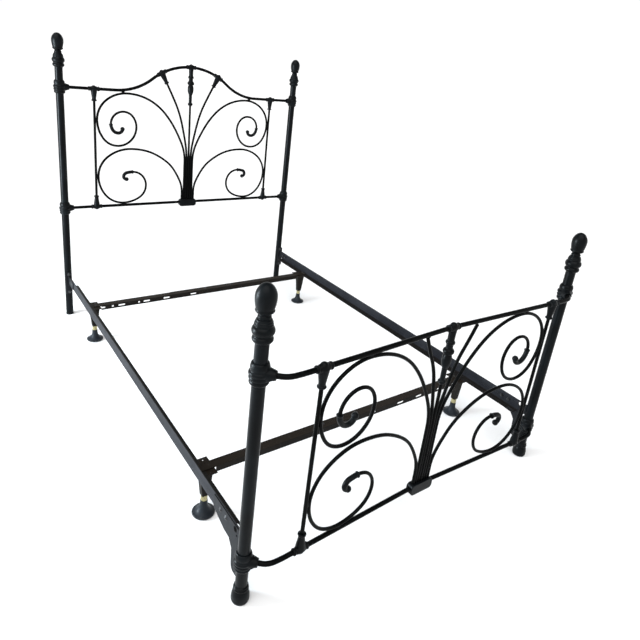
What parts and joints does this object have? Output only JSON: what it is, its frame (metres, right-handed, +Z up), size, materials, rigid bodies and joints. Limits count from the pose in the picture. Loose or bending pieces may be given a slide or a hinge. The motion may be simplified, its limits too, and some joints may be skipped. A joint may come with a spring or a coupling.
{
  "type": "metal bed frame",
  "caption": "Black wrought-style metal bed frame with turned posts, scrollwork headboard and footboard, angle-iron side rails, cross arms and turning floor glides.",
  "frame": {"origin": "on the floor, at the middle of the whole bed's footprint", "axes": "+X across the bed, +Y from the footboard to the headboard, +Z up; left is -X, seen from the foot"},
  "size_m": [1.4606, 2.1982, 1.522],
  "materials": {
    "post_enamel": "satin black powder coat on steel tube",
    "casting_enamel": "satin black powder coat on sand-cast iron, slightly pitted",
    "rod_enamel": "satin black powder coat on round steel rod",
    "rail_enamel": "thin dark grey enamel on angle iron",
    "arm_enamel": "thin brown-black enamel on angle iron",
    "bracket_enamel": "dark grey enamel on steel plate",
    "fastener_steel": "blackened steel, rubbed",
    "glide_plastic": "moulded blue-grey black plastic",
    "socket_brass": "dull yellow brass",
    "stem_steel": "drawn steel"
  },
  "bodies": {
    "frame": {"arm_rivets": "fastener_steel", "foot_arm_plain": "arm_enamel", "foot_arm_slotted": "arm_enamel", "foot_base_block": "casting_enamel", "foot_bottom_rail": "rod_enamel", "foot_brackets": "bracket_enamel", "foot_centre_spindle": "casting_enamel", "foot_collars": "casting_enamel", "foot_fan_rods": "rod_enamel", "foot_finial_left": "casting_enamel", "foot_finial_right": "casting_enamel", "foot_knuckles": "casting_enamel", "foot_leg_left": "arm_enamel", "foot_leg_right": "arm_enamel", "foot_lower_scroll_left": "rod_enamel", "foot_lower_scroll_right": "rod_enamel", "foot_post_feet": "casting_enamel", "foot_post_left": "post_enamel", "foot_post_right": "post_enamel", "foot_scroll_tips": "casting_enamel", "foot_top_rail": "rod_enamel", "foot_upper_scroll_left": "rod_enamel", "foot_upper_scroll_right": "rod_enamel", "foot_uprights": "rod_enamel", "frame_bolts": "fastener_steel", "glide_sockets": "socket_brass", "head_arm_plain": "arm_enamel", "head_arm_slotted": "arm_enamel", "head_base_block": "casting_enamel", "head_bottom_rail": "rod_enamel", "head_brackets": "bracket_enamel", "head_centre_spindle": "casting_enamel", "head_collars": "casting_enamel", "head_fan_knuckles": "casting_enamel", "head_fan_rods": "rod_enamel", "head_finial_left": "casting_enamel", "head_finial_right": "casting_enamel", "head_knuckles": "casting_enamel", "head_leg_left": "arm_enamel", "head_leg_right": "arm_enamel", "head_lower_scroll_left": "rod_enamel", "head_lower_scroll_right": "rod_enamel", "head_post_caps": "casting_enamel", "head_post_left": "post_enamel", "head_post_right": "post_enamel", "head_scroll_tips": "casting_enamel", "head_top_rail": "rod_enamel", "head_upper_scroll_left": "rod_enamel", "head_upper_scroll_right": "rod_enamel", "head_uprights": "rod_enamel", "side_rail_left": "rail_enamel", "side_rail_right": "rail_enamel"},
    "foot_glide_left_turning": {"foot_glide_left": "glide_plastic", "foot_stem_left": "stem_steel"},
    "foot_glide_right_turning": {"foot_glide_right": "glide_plastic", "foot_stem_right": "stem_steel"},
    "head_glide_left_turning": {"head_glide_left": "glide_plastic", "head_stem_left": "stem_steel"},
    "head_glide_right_turning": {"head_glide_right": "glide_plastic", "head_stem_right": "stem_steel"}
  },
  "joints": [
    {"name": "foot_glide_left_swivel", "type": "hinge", "parent": "frame", "child": "foot_glide_left_turning", "pos_m": [-0.655, -0.67105, 0.03], "axis": [0, 0, 1], "continuous": true},
    {"name": "foot_glide_right_swivel", "type": "hinge", "parent": "frame", "child": "foot_glide_right_turning", "pos_m": [0.655, -0.67105, 0.03], "axis": [0, 0, 1], "continuous": true},
    {"name": "head_glide_left_swivel", "type": "hinge", "parent": "frame", "child": "head_glide_left_turning", "pos_m": [-0.655, 0.70995, 0.03], "axis": [0, 0, 1], "continuous": true},
    {"name": "head_glide_right_swivel", "type": "hinge", "parent": "frame", "child": "head_glide_right_turning", "pos_m": [0.655, 0.70995, 0.03], "axis": [0, 0, 1], "continuous": true}
  ]
}
